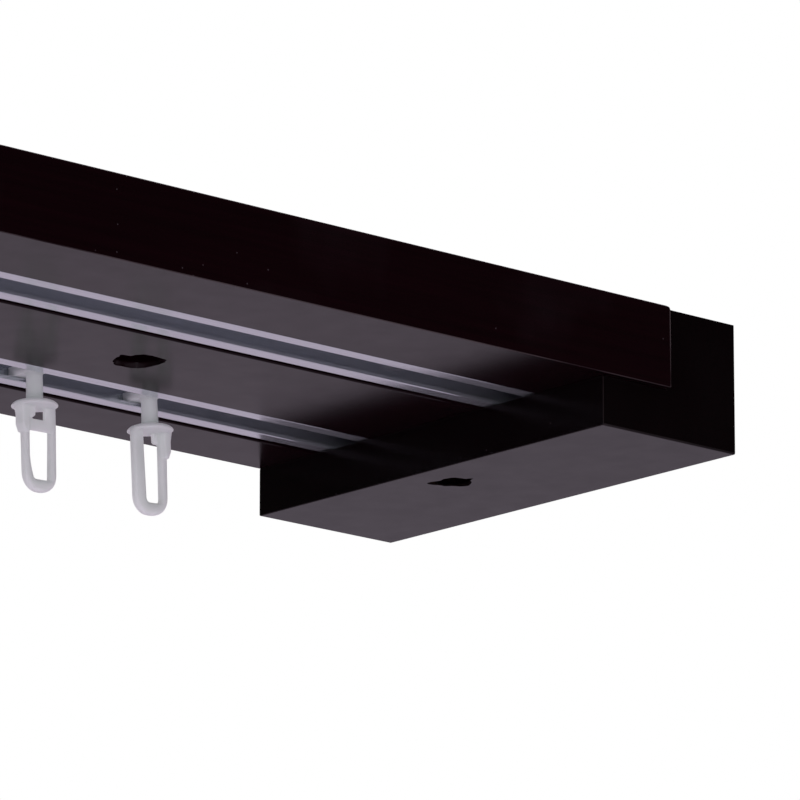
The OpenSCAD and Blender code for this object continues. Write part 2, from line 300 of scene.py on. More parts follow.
def round_edges(piece, radius_of, steps):
    """Rounds each edge by the radius that radius_of gives for it, and marks the rounded faces."""
    bm = opened(piece)
    weights = bm.edges.layers.float.new("bevel_weight_edge")
    radii = {edge: radius_of(edge) for edge in bm.edges}
    widest = max(radii.values())
    for edge, radius in radii.items():
        edge[weights] = radius / widest
    put_back(bm, piece)
    add_blanks(piece)
    rounding = piece.modifiers.new("rounding", "BEVEL")
    rounding.limit_method = "WEIGHT"
    rounding.width = widest
    rounding.segments = steps
    rounding.material = ROUNDED
    settle(piece)


def note_edges(piece, highlight_at=None):
    """Writes how strong the painted highlight is at each point inside a rounding into an attribute, for the
    finish.
    """
    bm = opened(piece)
    edge = bm.verts.layers.float.new("edge")
    for vert in bm.verts:
        rounded = all(face.material_index == ROUNDED for face in vert.link_faces)
        vert[edge] = highlight_at(vert.co) if rounded and highlight_at else 0.0
    for face in bm.faces:
        face.material_index = PLAIN
    put_back(bm, piece)
    piece.data.materials.clear()


def near(one, other):
    return abs(one - other) < TOUCH


def middle(edge):
    return (edge.verts[0].co + edge.verts[1].co) / 2


def runs_along(edge, axis):
    run = edge.verts[1].co - edge.verts[0].co
    return abs(run[axis]) > STRAIGHT * run.length


def bevel(bm, geometry, offset, segments, affect="EDGES"):
    bmesh.ops.bevel(
        bm, geom=geometry, offset=offset, offset_type="OFFSET", affect=affect,
        segments=segments, profile=0.5, material=-1
    )


def prism(outline, place, travel, corners=None):
    """A closed bar: an outline put in space by place(u, v) and pulled along travel.

    corners gives the radius of each rounded corner by its number in the outline.
    """
    bm = bmesh.new()
    points = [bm.verts.new(place(u, v)) for u, v in outline]
    bm.faces.new(points)
    for number, radius in (corners or {}).items():
        bevel(bm, [points[number]], radius, CORNER_STEPS, affect="VERTICES")
    pulled = bmesh.ops.extrude_face_region(bm, geom=bm.faces[:])
    moved = [part for part in pulled["geom"] if isinstance(part, bmesh.types.BMVert)]
    bmesh.ops.translate(bm, vec=travel, verts=moved)
    bmesh.ops.recalc_face_normals(bm, faces=bm.faces)
    return bm


def lathe(profile, centre, steps):
    """A closed turned shape: (radius, height) points spun about the vertical line through centre."""
    bm = bmesh.new()
    line = [bm.verts.new((centre[0] + radius, centre[1], height)) for radius, height in profile]
    edges = [bm.edges.new(pair) for pair in zip(line, line[1:])]
    bmesh.ops.spin(
        bm, geom=line + edges, cent=(centre[0], centre[1], 0.0), axis=(0.0, 0.0, 1.0),
        dvec=(0.0, 0.0, 0.0), angle=math.tau, steps=steps, use_merge=True
    )
    bmesh.ops.remove_doubles(bm, verts=bm.verts, dist=MERGE)
    bmesh.ops.recalc_face_normals(bm, faces=bm.faces)
    return bm


def join(parts):
    """Puts several bmeshes into the first one."""
    whole = parts[0]
    for part in parts[1:]:
        passing = bpy.data.meshes.new("passing")
        part.to_mesh(passing)
        part.free()
        whole.from_mesh(passing)
        bpy.data.meshes.remove(passing)
    return whole


def hand_over(piece, body, node):
    """Says which body a piece rides and what it stands for."""
    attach(piece, body)
    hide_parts(node)


def complete(piece, finish, node, highlight_at=None):
    """Shades a fixed piece, gives it its painted edge highlights and its finish, and puts it in place of its
    node.
    """
    note_edges(piece, highlight_at)
    smooth(piece)
    piece.data.materials.append(finish)
    hand_over(piece, "root", node)


# Wood

# Flaws of a drilled rim: direction in degrees, how wide they spread, how far the rim is torn out in mm
CEILING_RIM = ((197, 8, 1.6), (209, 11, -0.9), (246, 16, 0.5), (-50, 13, 0.6), (6, 22, -0.4), (60, 24, 0.5),
               (108, 13, 0.6))
RIGHT_CAP_RIM = ((141, 15, 1.0), (182, 24, -1.2), (236, 26, 0.7), (272, 7, 1.9), (-39, 22, -0.6),
                 (48, 50, -2.6), (104, 16, -1.2))
LEFT_CAP_RIM = ((-20, 40, -1.1), (200, 22, 0.7), (120, 30, -0.5))
# Each cap's side of the track, the flaws of its bore and the seed of their fine tears
CAPS = {"left": (-1, LEFT_CAP_RIM, 6), "right": (1, RIGHT_CAP_RIM, 8)}
# Reach of the fine tears in mm, and how fast they change round the rim and along the bore's wall
FINE_TEAR = 0.22
ROUND_THE_RIM, ALONG_X = 6, 900
PER_DEGREE, UP_THE_WALL = 0.14, 1500
# Heights of the rings of points in the torn part of a bore, as shares of its depth
TORN_RINGS = (0.0, 0.3, 0.65, 1.0)
# How far a cutter reaches out of the face that it opens
OVERCUT = MM
BORE_STEPS, HOLE_STEPS = 96, 24


def torn_rim(bm, centre, mouth, depth, flaws, seed):
    """Tears a turned bore's outline near its mouth, as a drill does in varnished wood."""
    for vert in bm.verts:
        out = Vector((vert.co.x - centre[0], vert.co.y - centre[1], 0.0))
        rise = vert.co.z - mouth
        if out.length < TOUCH or rise > depth - TOUCH:
            continue
        turn = math.degrees(math.atan2(out.y, out.x))
        torn = sum(
            reach * math.exp(-(((turn - at + 180) % 360 - 180) / spread) ** 2)
            for at, spread, reach in flaws
        )
        around = math.cos(math.radians(turn)) * ROUND_THE_RIM
        torn += FINE_TEAR * noise.noise(Vector((around, seed, vert.co.x * ALONG_X)))
        torn += FINE_TEAR * noise.noise(Vector((turn * PER_DEGREE, seed, vert.co.z * UP_THE_WALL)))
        fade = 1.0 - max(rise, 0.0) / depth
        vert.co += out.normalized() * torn * MM * fade


def stepped_hole(centre, mouth, bore, bore_depth, shank, top, torn_depth, flaws, seed):
    """The cutter for a wide bore from below that a narrower hole goes on from."""
    below = mouth - 2 * OVERCUT
    seat = mouth + bore_depth
    rises = [-2 * OVERCUT] + [torn_depth * ring for ring in TORN_RINGS]
    profile = [(0.0, below)]
    profile += [(bore / 2, mouth + rise) for rise in rises]
    profile += [(bore / 2, seat), (shank / 2, seat), (shank / 2, top), (0.0, top)]
    bm = lathe(profile, centre, BORE_STEPS)
    for face in bm.faces:
        if mouth < face.calc_center_median().z < mouth + torn_depth:
            face.material_index = ROUNDED
    torn_rim(bm, centre, mouth, torn_depth, flaws, seed)
    return bm


def blind_hole(centre, mouth, shank, top):
    low = mouth - OVERCUT
    return lathe([(0.0, low), (shank / 2, low), (shank / 2, top), (0.0, top)], centre, HOLE_STEPS)


def screw_place(node):
    """Where an upright screw stands, and the height of its tip."""
    low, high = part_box(node)
    return ((low.x + high.x) / 2, (low.y + high.y) / 2), high.z


def screw_places(node, count):
    """Centres of a row of equal screws along X, and the height of their tips."""
    low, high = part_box(node)
    radius = (high.y - low.y) / 2
    step = (high.x - low.x - 2 * radius) / (count - 1)
    centre_y = (low.y + high.y) / 2
    return [(low.x + radius + i * step, centre_y) for i in range(count)], high.z


def ceiling_places():
    """Centres of the row of ceiling holes, and their diameter, from the record's mount."""
    mount = next(m for m in frame["record"]["mounts"] if m["name"] == "ceiling_screws")
    reach = mount["dims"]["spacing_x_mm"] * MM / 2
    return [(x, 0.0) for x in (-reach, 0.0, reach)], mount["dims"]["hole_r_mm"] * 2 * MM


class CURTAINTRACK_OT_board(bpy.types.Operator):
    """Builds the wooden board with its two grooves and its holes"""
    bl_idname = "curtain_track.board"
    bl_label = "Board"

    def execute(self, context):
        wood = context.scene.track_wood
        rails = context.scene.track_rails
        low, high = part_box("track_board")
        outline = [(low.y, low.z)]
        grooves = []
        for name in RAILS:
            rail_low, rail_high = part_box(name)
            front, back = rail_low.y - wood.groove_gap, rail_high.y + wood.groove_gap
            outline += [(front, low.z), (front, rail_high.z), (back, rail_high.z), (back, low.z)]
            grooves += [front, back]
            groove_roof = rail_high.z
        outline += [(high.y, low.z), (high.y, high.z), (low.y, high.z)]
        board = show("wooden_board", prism(
            outline, lambda y, z: (low.x, y, z), (high.x - low.x, 0.0, 0.0)))

        def radius_of(edge):
            place = middle(edge)
            in_groove = near(place.z, groove_roof)
            on_top = near(place.z, high.z)
            if runs_along(edge, X_AXIS):
                if in_groove:
                    return 0.0
                if on_top:
                    return wood.top_edge
                at_mouth = any(near(place.y, y) for y in grooves)
                return wood.groove_mouth if at_mouth else wood.low_edge
            if on_top:
                return wood.top_corner
            return 0.0 if in_groove else wood.sawn_edge

        # How strong the painted highlight is on each rounded edge of the board: none at the groove mouths,
        # strongest at the sawn ends, fading along the long edges.
        def highlight_at(place):
            if any(abs(place.y - y) < wood.groove_mouth + TOUCH for y in grooves):
                return 0.0
            from_end = high.x - abs(place.x)
            if from_end < wood.sawn_edge:
                return wood.end_highlight
            return max(1.0 - from_end / wood.highlight_reach, wood.edge_highlight)

        round_edges(board, radius_of, WOOD_STEPS)
        centres, hole = ceiling_places()
        cutters = [
            stepped_hole(centre, low.z, wood.ceiling_bore, wood.ceiling_bore_depth, hole,
                         high.z + OVERCUT, wood.torn_depth, CEILING_RIM, seed)
            for seed, centre in enumerate(centres)
        ]
        for name in RAIL_SCREWS:
            places, tip = screw_places(name, rails.screw_count)
            cutters += [
                blind_hole(place, groove_roof, rails.screw_shank + 2 * wood.screw_fit, tip + wood.screw_fit)
                for place in places
            ]
        for name in CAP_SCREWS:
            place, tip = screw_place(name)
            shank = rails.cap_screw_shank + 2 * wood.screw_fit
            cutters.append(blind_hole(place, low.z, shank, tip + wood.screw_fit))
        cut(board, show("board_cutters", join(cutters)))
        complete(board, board_varnish(context.scene.track_finishes), "track_board", highlight_at)
        return {"FINISHED"}


class CURTAINTRACK_OT_end_caps(bpy.types.Operator):
    """Builds the rebated wooden cap under each end of the board"""
    bl_idname = "curtain_track.end_caps"
    bl_label = "End caps"

    def execute(self, context):
        wood = context.scene.track_wood
        rails = context.scene.track_rails
        finish = cap_varnish(context.scene.track_finishes)
        board_low, board_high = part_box("track_board")
        wall = board_high.x + wood.cap_gap
        shelf = board_low.z
        shank = rails.cap_screw_shank + 2 * wood.screw_fit
        for name, (side, flaws, seed) in CAPS.items():
            node = f"{name}_end_cap"
            low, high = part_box(node)
            inner, outer = sorted((abs(low.x), abs(high.x)))
            outline = [(inner, shelf), (inner, low.z), (outer, low.z), (outer, high.z),
                       (wall, high.z), (wall, shelf)]
            cap = show(f"{name}_wooden_cap", prism(
                outline, lambda x, z: (side * x, low.y, z), (0.0, high.y - low.y, 0.0)))

            def radius_of(edge):
                place = middle(edge)
                across = abs(place.x)
                on_shelf, on_wall = near(place.z, shelf), near(across, wall)
                if runs_along(edge, Y_AXIS) and on_wall and on_shelf:
                    return 0.0
                if on_wall or on_shelf and across < wall:
                    return wood.cap_seam
                at_foot = near(place.z, low.z) and runs_along(edge, X_AXIS)
                return wood.cap_foot if at_foot else wood.cap_edge

            round_edges(cap, radius_of, WOOD_STEPS)
            centre, _ = screw_place(f"{name}_cap_screw")
            cutter = stepped_hole(centre, low.z, wood.cap_bore, wood.cap_bore_depth, shank,
                                  shelf + OVERCUT, wood.torn_depth, flaws, seed)
            cut(cap, show("cap_cutter", cutter))
            # Each cap's rounded edges all get the same painted highlight.
            complete(cap, finish, node, lambda place: wood.cap_highlight)
        return {"FINISHED"}


class CURTAINTRACK_OT_channels(bpy.types.Operator):
    """Builds the two aluminium channels"""
    bl_idname = "curtain_track.channels"
    bl_label = "Channels"

    def execute(self, context):
        wood = context.scene.track_wood
        rails = context.scene.track_rails
        finish = satin_aluminium(context.scene.track_finishes.aluminium)
        shank = rails.screw_shank + 2 * wood.screw_fit
        for node, screws in zip(RAILS, RAIL_SCREWS):
            low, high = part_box(node)
            centre = (low.y + high.y) / 2
            slot = rails.slot / 2
            half = (high.y - low.y) / 2
            inner = half - rails.wall
            lip_top = low.z + rails.lip
            floor = high.z - rails.wall
            right = [(half, high.z), (half, low.z), (slot, low.z), (slot, lip_top),
                     (inner, lip_top), (inner, floor)]
            outline = right + [(-y, z) for y, z in reversed(right)]
            channel = show(f"{node}_channel", prism(
                outline, lambda y, z: (low.x, centre + y, z), (high.x - low.x, 0.0, 0.0)))

            def radius_of(edge):
                place = middle(edge)
                if not runs_along(edge, X_AXIS):
                    return 0.0
                across = abs(place.y - centre)
                if near(across, slot) and near(place.z, low.z):
                    return rails.lip_edge
                return rails.outer_edge if near(across, half) else 0.0

            round_edges(channel, radius_of, METAL_STEPS)
            places, _ = screw_places(screws, rails.screw_count)
            cut(channel, show("channel_cutters", join(
                [blind_hole(place, floor, shank, high.z + OVERCUT) for place in places])))
            complete(channel, finish, node)
        return {"FINISHED"}


class CURTAINTRACK_OT_screws(bpy.types.Operator):
    """Gives the channel screws and the cap screws their plated finishes"""
    bl_idname = "curtain_track.screws"
    bl_label = "Screws"

    def execute(self, context):
        zinc = plated("bright_zinc", context.scene.track_finishes.zinc)
        yellow = plated("yellow_zinc", context.scene.track_finishes.yellow_zinc)
        for names, finish in ((RAIL_SCREWS, zinc), (CAP_SCREWS, yellow)):
            for name in names:
                dress(frame["nodes"][name], finish)
        return {"FINISHED"}


def dress(node, finish):
    """Gives a node of the frame another material."""
    if not node.material_slots:
        node.data.materials.append(finish)
    for slot in node.material_slots:
        slot.material = finish


# Gliders, drawn in millimetres with the neck on the Z axis and heights as in the frame

class Moulding:
    """The sizes of one glider in millimetres, with the heights taken from a node's box."""

    def __init__(self, sizes, low, high, is_open):
        for name in sizes.__annotations__:
            setattr(self, name, getattr(sizes, name) / MM)
        self.is_open = is_open
        self.tongue_open = sizes.tongue_open
        self.collar_r = (high.x - low.x) / 2 / MM
        self.head_length = (high.y - low.y) / MM
        self.head_top = high.z / MM
        self.eye_bottom = low.z / MM + self.eye_rise
        self.head_bottom = self.head_top - self.head_thickness
        self.collar_under = low.z / MM + self.eye_length
        self.collar_top = self.collar_under + self.collar_height
        self.eye_low = self.eye_offset - self.eye_width / 2 - (self.open_spread if is_open else 0.0)
        self.eye_high = self.eye_offset + self.eye_width / 2
        self.window_low = self.eye_low + self.catch_arm
        self.window_high = self.eye_high - (self.open_arm if is_open else self.tongue_arm)
        self.window_foot = self.eye_bottom + self.bend
        self.catch_side = self.window_low - self.catch_inset


# How far one shell of a moulding reaches into the next
BITE = 0.3
# Roundings in mm of the head's and the catch's edges, the tongue's root and the nib's two corners
HEAD_EDGE, CATCH_EDGE, ROOT_CORNER, NIB_CORNERS = 0.3, 0.25, 0.3, (0.6, 0.7)
# In mm: the flat beside each round corner of the head, the flare at the neck's foot, the neck's straight top,
# and how far the foot of the catch reaches into its arm
HEAD_FLAT, NECK_FLARE, NECK_TOP, CATCH_BITE = 0.05, 0.35, 1.0, 0.1
# How near to a plate's face a point counts as in it, in mm
FLUSH = 0.01
# The collar's outline from its top round its rim: shares of its radius and of its height
COLLAR_OUTLINE = ((0, 1), (0.5, 0.97), (0.72, 0.88), (0.87, 0.69), (0.96, 0.41), (1, 0.22), (0.99, 0.08),
                  (0.95, 0), (0, 0))
NECK_STEPS, COLLAR_STEPS, SWEEP_STEPS, RIM_STEPS = 32, 48, 6, 4
# How the fused skin is smoothed, and the share of its faces that stay
SMOOTHING, SMOOTHING_ROUNDS, KEPT_FACES = 0.5, 4, 0.16
# Share of the head's thickness, from its top, whose points give the neck's axis
HEAD_SHARE = 0.6


def upright(outline, thickness, corners=None, front=None):
    """A plate in the plane of the eye, pulled back from its front face."""
    front = -thickness / 2 if front is None else front
    return prism(outline, lambda x, z: (x, front, z), (0.0, thickness, 0.0), corners)


def glider_head(g):
    """The bar that hangs on both lips, with two corners rounded so that it can be turned in."""
    x, y = g.head_width / 2, g.head_length / 2
    corner = x - HEAD_FLAT
    bm = prism([(-x, -y), (x, -y), (x, y), (-x, y)], lambda u, v: (u, v, g.head_bottom),
               (0.0, 0.0, g.head_thickness), {0: corner, 2: corner})
    bevel(bm, bm.edges[:], HEAD_EDGE, SMALL_STEPS)
    return bm


def glider_neck(g):
    foot, top = g.collar_top - BITE, g.head_bottom + BITE
    return lathe([(0, foot), (g.neck_foot / 2 + NECK_FLARE, foot),
                  (g.neck_foot / 2, g.collar_top + NECK_FLARE), (g.neck / 2, g.head_bottom - NECK_TOP),
                  (g.neck / 2, top), (0, top)], (0, 0), NECK_STEPS)


def glider_collar(g):
    """The thin collar: domed above, flat below, with a rounded rim."""
    outline = [(out * g.collar_r, g.collar_under + up * g.collar_height) for out, up in COLLAR_OUTLINE]
    return lathe(outline, (0, 0), COLLAR_STEPS)


def round_the_rims(bm, depth, radius):
    """Rounds the edges in a plate's front and back faces."""
    rims = [edge for edge in bm.edges
            if all(abs(abs(vert.co.y) - depth) < FLUSH for vert in edge.verts)
            and edge.calc_face_angle(0.0) > SHARP]
    bevel(bm, rims, radius, RIM_STEPS)


def eye_window(g):
    """The window's outline; on the shut eye its side by the catch sweeps in towards the foot."""
    top = g.collar_under + 2 * BITE
    left, right, foot = g.window_low, g.window_high, g.window_foot
    if g.is_open:
        return [(left, top), (left + g.arm_taper, foot), (right - g.arm_taper, foot), (right, top)]
    steps = [step / SWEEP_STEPS for step in range(SWEEP_STEPS + 1)]
    sweep = [(left + g.catch_in * step ** 2, foot + g.catch_sweep * (1 - step)) for step in steps]
    return [(left, top), *sweep, (right - g.arm_taper, foot), (right, top)]


def glider_eye(g):
    """The long eye: a plate with round lower corners, less its window."""
    top = g.collar_under + BITE
    plate = show("eye_plate", upright(
        [(g.eye_low, top), (g.eye_low + g.eye_taper, g.eye_bottom), (g.eye_high, g.eye_bottom),
         (g.eye_high, top)],
        g.eye_thickness, {1: g.outer_bend, 2: g.outer_bend}))
    outline = eye_window(g)
    # The two corners at the window's foot come just before its last point
    foot = len(outline) - 3
    bend = g.open_bend if g.is_open else g.inner_bend
    cut(plate, show("eye_window", upright(outline, g.eye_thickness + 2 * BITE, {foot: bend, foot + 1: bend})))
    bm = opened(plate)
    bpy.data.objects.remove(plate)
    round_the_rims(bm, g.eye_thickness / 2, g.roundness)
    return bm


def glider_catch(g):
    """The thick block on one arm that holds the nib, flared where it meets the collar."""
    outer, inner = g.eye_low - g.catch_out, g.catch_side
    top = g.collar_under + BITE
    low = g.collar_under - g.catch_height
    foot = low - g.catch_foot
    bm = upright([(inner, top), (outer - g.catch_flare, top), (outer, g.collar_under - g.catch_height / 2),
                  (outer, low), (g.eye_low + CATCH_BITE, foot), (inner, foot)], g.catch_thickness)
    bevel(bm, bm.edges[:], CATCH_EDGE, SMALL_STEPS)
    return bm


def glider_nib(g):
    """The small hook beside the catch that the tongue snaps behind."""
    left = g.catch_side - BITE
    right = g.window_low - BITE + g.nib_width
    top = g.collar_under + BITE
    low = g.collar_under - g.nib_height
    return upright([(left, top), (left, low), (right, low), (right, top)],
                   g.catch_thickness / 2 - g.eye_thickness / 4, dict(enumerate(NIB_CORNERS, 1)),
                   -g.catch_thickness / 2)


def glider_tongue(g):
    """The springy tongue, moulded on the arm away from the catch; it stands out when it is open."""
    hinge = g.window_high
    tip = g.window_low - BITE
    root = g.eye_high - g.tongue_root
    top = g.collar_under + (-BITE if g.is_open else BITE)
    bar_top = g.collar_under - g.tongue_gap
    bar_low = bar_top - g.tongue_height
    front = -g.eye_thickness / 2
    bar = upright(
        [(hinge, top), (root, top), (root, bar_top), (tip, bar_top), (tip, bar_low), (hinge, bar_low)],
        g.tongue_thickness, {2: ROOT_CORNER}, front)
    if g.is_open:
        turn = Matrix.Rotation(g.tongue_open, 4, "Z")
        bmesh.ops.rotate(bar, cent=(hinge, front + g.tongue_thickness, 0.0), matrix=turn, verts=bar.verts)
    fast, held = hinge - BITE, hinge + g.tongue_arm / 2
    anchor = upright([(fast, bar_low), (held, bar_low), (held, top - BITE), (fast, top - BITE)],
                     g.tongue_thickness, None, front)
    return join([bar, anchor])


def moulded_glider(name, g):
    """One glider's skin: its shells fused on a fine grid, smoothed and thinned."""
    piece = show(name, join([
        glider_head(g), glider_neck(g), glider_collar(g), glider_eye(g),
        glider_catch(g), glider_nib(g), glider_tongue(g)
    ]))
    fuse = piece.modifiers.new("fuse", "REMESH")
    fuse.mode = "VOXEL"
    fuse.voxel_size = g.grid
    soften = piece.modifiers.new("soften", "SMOOTH")
    soften.factor = SMOOTHING
    soften.iterations = SMOOTHING_ROUNDS
    thin = piece.modifiers.new("thin", "DECIMATE")
    thin.ratio = KEPT_FACES
    settle(piece)
    piece.data.shade_smooth()
    return piece


def neck_axis(node, head_thickness):
    """Where a glider's neck meets its head: the middle of the head's points."""
    low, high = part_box(node)
    across = [vert.co.x for vert in frame["nodes"][node].data.vertices
              if vert.co.z > high.z - head_thickness * HEAD_SHARE]
    return (min(across) + max(across)) / 2, (low.y + high.y) / 2


# Degrees by which a glider leans along the track; the others hang loosely within the next two values
LEANS = {"rear_glider_09": 1.6, OPEN_GLIDER: 3.4}
LOOSE_LEAN, LOOSE_TURN = 0.7, 2.5
# Turn in degrees of every second glider
HALF_TURN = 180.0
# Seed of the leans and turns of the gliders that hang loosely
HANG_SEED = 3


class CURTAINTRACK_OT_gliders(bpy.types.Operator):
    """Moulds the gliders and hangs one in place of each node"""
    bl_idname = "curtain_track.gliders"
    bl_label = "Gliders"

    def execute(self, context):
        sizes = context.scene.track_gliders
        finish = milky_plastic(context.scene.track_finishes.plastic)
        loose = random.Random(HANG_SEED)
        shapes = {is_open: Moulding(sizes, *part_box("rear_glider_01"), is_open) for is_open in (False, True)}
        masters = {is_open: moulded_glider("master", g) for is_open, g in shapes.items()}
        pivot = Matrix.Translation((0.0, 0.0, shapes[False].collar_under))
        for name in GLIDERS:
            mesh = masters[name == OPEN_GLIDER].data.copy()
            lean = LEANS.get(name, loose.uniform(-LOOSE_LEAN, LOOSE_LEAN))
            turn = 0.0 if name in LEANS else loose.uniform(-LOOSE_TURN, LOOSE_TURN)
            if int(name[-2:]) % 2 == 0:
                turn += HALF_TURN
            hang = Matrix.Rotation(math.radians(-lean), 4, "Y") @ Matrix.Rotation(math.radians(turn), 4, "Z")
            x, y = neck_axis(name, sizes.head_thickness)
            mesh.transform(pivot @ hang @ pivot.inverted())
            mesh.transform(Matrix.Translation((x, y, 0.0)) @ Matrix.Scale(MM, 4))
            mesh.name = f"{name}_moulding"
            mesh.materials.append(finish)
            hand_over(add_object(f"{name}_moulding", mesh), name, name)
        for master in masters.values():
            bpy.data.objects.remove(master)
        return {"FINISHED"}


# Shader nodes and groups

def feed(tree, value, socket):
    """Links a socket to another one, or sets it to a plain number, vector or colour."""
    if isinstance(value, bpy.types.NodeSocket):
        tree.links.new(value, socket)
    elif socket.type == "RGBA":
        socket.default_value = (*value, 1.0)
    else:
        socket.default_value = value


def add_node(tree, kind, inputs, operation=None):
    """Adds a shader node, feeds its inputs by name or number, and returns its outputs."""
    node = tree.nodes.new(f"ShaderNode{kind}")
    if operation:
        node.operation = operation
    for label, value in inputs.items():
        feed(tree, value, node.inputs[label])
    return node.outputs


def calculate(tree, operation, first, second):
    return add_node(tree, "Math", {0: first, 1: second}, operation)["Value"]


def new_group(name, inputs, output):
    """A shader group, the sockets that it is given, Vector among them, and its result's sockets."""
    group = bpy.data.node_groups.new(name, "ShaderNodeTree")
    group.interface.new_socket("Vector", in_out="INPUT", socket_type="NodeSocketVector")
    for label, value in inputs.items():
        socket = group.interface.new_socket(label, in_out="INPUT", socket_type="NodeSocketFloat")
        socket.default_value = value
    group.interface.new_socket(output, in_out="OUTPUT", socket_type="NodeSocketFloat")
    return group, group.nodes.new("NodeGroupInput").outputs, group.nodes.new("NodeGroupOutput").inputs


def soft_clouds():
    """A slow drift between two values, as in hand-laid varnish or cooled plastic."""
    group, given, result = new_group("soft_clouds", {"Scale": 20.0, "Low": 0.0, "High": 1.0}, "Value")
    clouds = add_node(group, "TexNoise", {"Vector": given["Vector"], "Scale": given["Scale"], "Detail": 3.0})
    spread = add_node(group, "MapRange", {
        "Value": clouds["Fac"], "From Min": 0.3, "From Max": 0.7,
        "To Min": given["Low"], "To Max": given["High"]})
    feed(group, spread["Result"], result["Value"])
    return group


def long_streaks():
    """Thin streaks along X: wood pores, or the die lines of a drawn metal."""
    group, given, result = new_group("long_streaks", {"Fineness": 900.0, "Stretch": 40.0}, "Mask")
    part = add_node(group, "SeparateXYZ", {"Vector": given["Vector"]})
    shortened = calculate(group, "DIVIDE", part["X"], given["Stretch"])
    place = add_node(group, "CombineXYZ", {"X": shortened, "Y": part["Y"], "Z": part["Z"]})
    streaks = add_node(group, "TexNoise", {
        "Vector": place["Vector"], "Scale": given["Fineness"], "Detail": 4.0, "Roughness": 0.6})
    contrast = add_node(group, "MapRange", {"Value": streaks["Fac"], "From Min": 0.32, "From Max": 0.68})
    feed(group, contrast["Result"], result["Mask"])
    return group


def fine_specks():
    """Sparse small specks of dust in the varnish."""
    group, given, result = new_group("fine_specks", {"Scale": 90.0, "Size": 0.02, "Share": 0.3}, "Mask")
    cells = add_node(group, "TexVoronoi", {"Vector": given["Vector"], "Scale": given["Scale"]})
    within = calculate(group, "LESS_THAN", cells["Distance"], given["Size"])
    picked = add_node(group, "SeparateColor", {"Color": cells["Color"]})
    chosen = calculate(group, "LESS_THAN", picked["Red"], given["Share"])
    feed(group, calculate(group, "MULTIPLY", within, chosen), result["Mask"])
    return group


def edge_highlight():
    """Where a rounded edge gets its painted highlight: patches along it, from the mesh's edge attribute."""
    group, given, result = new_group("edge_highlight", {"Edge": 0.0, "Scale": 30.0, "Share": 0.5}, "Mask")
    patches = add_node(group, "TexNoise", {"Vector": given["Vector"], "Scale": given["Scale"], "Detail": 5.0})
    raised = calculate(group, "ADD", patches["Fac"], given["Share"])
    glinting = add_node(group, "MapRange", {"Value": raised, "From Min": 0.92, "From Max": 1.12})
    feed(group, calculate(group, "MULTIPLY", glinting["Result"], given["Edge"]), result["Mask"])
    return group


GROUPS = {build.__name__: build for build in (soft_clouds, long_streaks, fine_specks, edge_highlight)}


# Materials

class Finish:
    """A new material with its Principled shader, and short ways to add nodes to it."""

    def __init__(self, name, turn=0.0):
        self.material = bpy.data.materials.new(name)
        self.material.use_nodes = True
        self.tree = self.material.node_tree
        self.sockets = self.tree.nodes["Principled BSDF"].inputs
        place = add_node(self.tree, "TexCoord", {})["Object"]
        self.place = add_node(self.tree, "Mapping", {"Vector": place, "Rotation": (0.0, 0.0, turn)})["Vector"]

    def set(self, values):
        """Feeds the shader's sockets by their labels."""
        for label, value in values.items():
            feed(self.tree, value, self.sockets[label])

    def effect(self, group, **values):
        """Places a shared group, which is built the first time, and returns its one output."""
        node = self.tree.nodes.new("ShaderNodeGroup")
        node.node_tree = bpy.data.node_groups.get(group) or GROUPS[group]()
        feed(self.tree, self.place, node.inputs["Vector"])
        for name, value in values.items():
            feed(self.tree, value, node.inputs[name.title()])
        return node.outputs[0]

    def attribute(self, name):
        node = self.tree.nodes.new("ShaderNodeAttribute")
        node.attribute_name = name
        return node.outputs["Fac"]

    def mix(self, mask, first, second, strength=1.0):
        """A colour that goes from first to second by a mask; each may be a socket."""
        node = self.tree.nodes.new("ShaderNodeMix")
        node.data_type = "RGBA"
        feed(self.tree, calculate(self.tree, "MULTIPLY", mask, strength), node.inputs["Factor"])
        colours = [socket for socket in node.inputs if socket.type == "RGBA"]
        for value, socket in zip((first, second), colours):
            feed(self.tree, value, socket)
        return next(socket for socket in node.outputs if socket.type == "RGBA")

    def shade(self, mask, base, darkest, lightest):
        """A colour that goes between two shades of its base by a mask."""
        dark, light = (tuple(part * factor for part in base) for factor in (darkest, lightest))
        return self.mix(mask, dark, light)

    def drift(self, label, scale, low, high):
        """Lets one of the shader's values drift slowly between two numbers."""
        self.set({label: self.effect("soft_clouds", scale=scale, low=low, high=high)})

    def bump(self, height, distance, strength):
        bump = add_node(self.tree, "Bump", {"Height": height, "Distance": distance, "Strength": strength})
        self.set({"Normal": bump["Normal"]})


# How far the clear coat's strength drifts either way
GLOSS_DRIFT = 0.04
# Turn of the grain that runs across the track
ACROSS = math.pi / 2


def varnish(name, colours, base, gloss, haze, turn=0.0):
    """Dark stain under a thin satin varnish, with faint grain, haze, dust and a painted highlight on the
    rounded edges.
    """
    finish = Finish(name, turn)
    grain = finish.effect("long_streaks", fineness=700.0, stretch=45.0)
    stained = finish.shade(grain, base, darkest=0.8, lightest=1.25)
    patches = finish.effect("soft_clouds", scale=22.0, low=-1.6, high=1.0)
    hazy = finish.mix(patches, stained, colours.dust, strength=haze)
    specks = finish.effect("fine_specks", scale=330.0, size=0.065, share=0.18)
    dusty = finish.mix(specks, hazy, colours.dust, strength=0.3)
    # The light colour mixed into the rounded edges is a painted highlight.
    glinting = finish.effect("edge_highlight", edge=finish.attribute("edge"), scale=28.0, share=0.6)
    finish.set({
        "Base Color": finish.mix(glinting, dusty, colours.highlighted), "Roughness": 0.5,
        "Specular IOR Level": 0.0, "Coat IOR": 1.2, "Coat Roughness": 0.2})
    finish.drift("Coat Weight", scale=150.0, low=gloss - GLOSS_DRIFT, high=gloss + GLOSS_DRIFT)
    finish.bump(grain, distance=0.00002, strength=0.5)
    return finish.material


